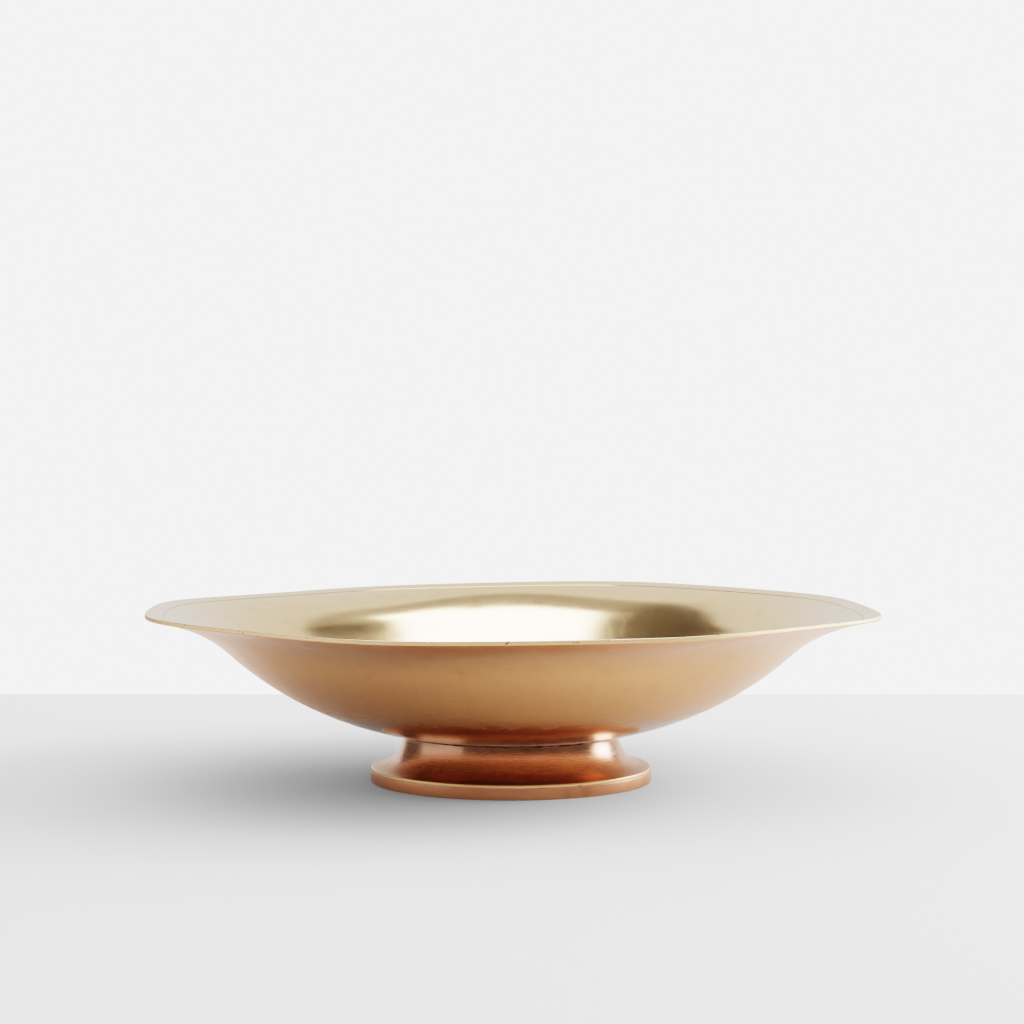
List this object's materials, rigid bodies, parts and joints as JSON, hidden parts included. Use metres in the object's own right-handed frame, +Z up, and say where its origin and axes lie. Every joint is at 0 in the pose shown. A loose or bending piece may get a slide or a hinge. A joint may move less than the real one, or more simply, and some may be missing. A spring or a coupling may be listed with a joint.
{
  "type": "footed bowl",
  "caption": "Shallow footed metal bowl with a wide, softly eight-sided flared lip and a low flared foot on a flat band.",
  "frame": {"origin": "the middle of the level face under the foot's band, which the bowl stands on", "axes": "+Z up along the bowl's axis; -Y faces the viewer; +X to the viewer's right"},
  "size_m": [0.2956, 0.2956, 0.0717],
  "materials": {
    "bowl_metal": "satin polished, golden inside and copper-toned outside",
    "foot_copper": "satin polished copper",
    "band_copper": "satin polished copper",
    "solder": "tarnished solder"
  },
  "bodies": {
    "root": {"bowl": "bowl_metal", "foot_flare": "foot_copper", "foot_band": "band_copper", "neck_solder": "solder", "band_solder": "solder"}
  },
  "joints": []
}
